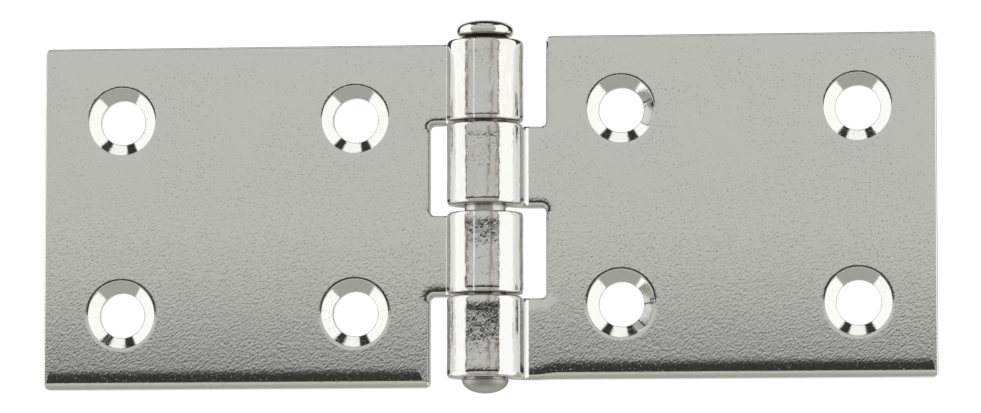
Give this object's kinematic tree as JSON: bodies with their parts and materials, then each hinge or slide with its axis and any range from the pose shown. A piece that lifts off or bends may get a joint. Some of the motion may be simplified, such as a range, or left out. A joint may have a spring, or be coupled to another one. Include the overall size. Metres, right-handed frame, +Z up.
{
  "type": "door hinge",
  "caption": "Rectangular table hinge of rolled sheet steel: two wide countersunk leaves that swing about one riveted pin.",
  "frame": {"origin": "on the pin's axis, halfway between the top of the pin's head and the tip of its tail", "axes": "+Z up along the pin, from its peened tail to its button head; +X from the pin along the open right leaf; +Y out of the flat back faces, so the countersinks and the proud side of the barrel look towards -Y"},
  "size_m": [0.104, 0.009, 0.0432],
  "materials": {
    "plated_leaf": "bright plated sheet steel, finely pitted, semi-gloss",
    "plated_pin": "bright plated wire, duller on the peened tail"
  },
  "bodies": {
    "left_leaf": {"left_leaf": "plated_leaf"},
    "right_leaf": {"right_leaf": "plated_leaf"},
    "pin": {"hinge_pin": "plated_pin"}
  },
  "joints": [
    {"name": "leaf_swing", "type": "hinge", "parent": "left_leaf", "child": "right_leaf", "pos_m": [0, 0, 0], "axis": [0, 0, 1], "range_deg": [-185, 111]},
    {"name": "pin_spin", "type": "hinge", "parent": "left_leaf", "child": "pin", "pos_m": [0, 0, 0], "axis": [0, 0, 1], "continuous": true}
  ]
}
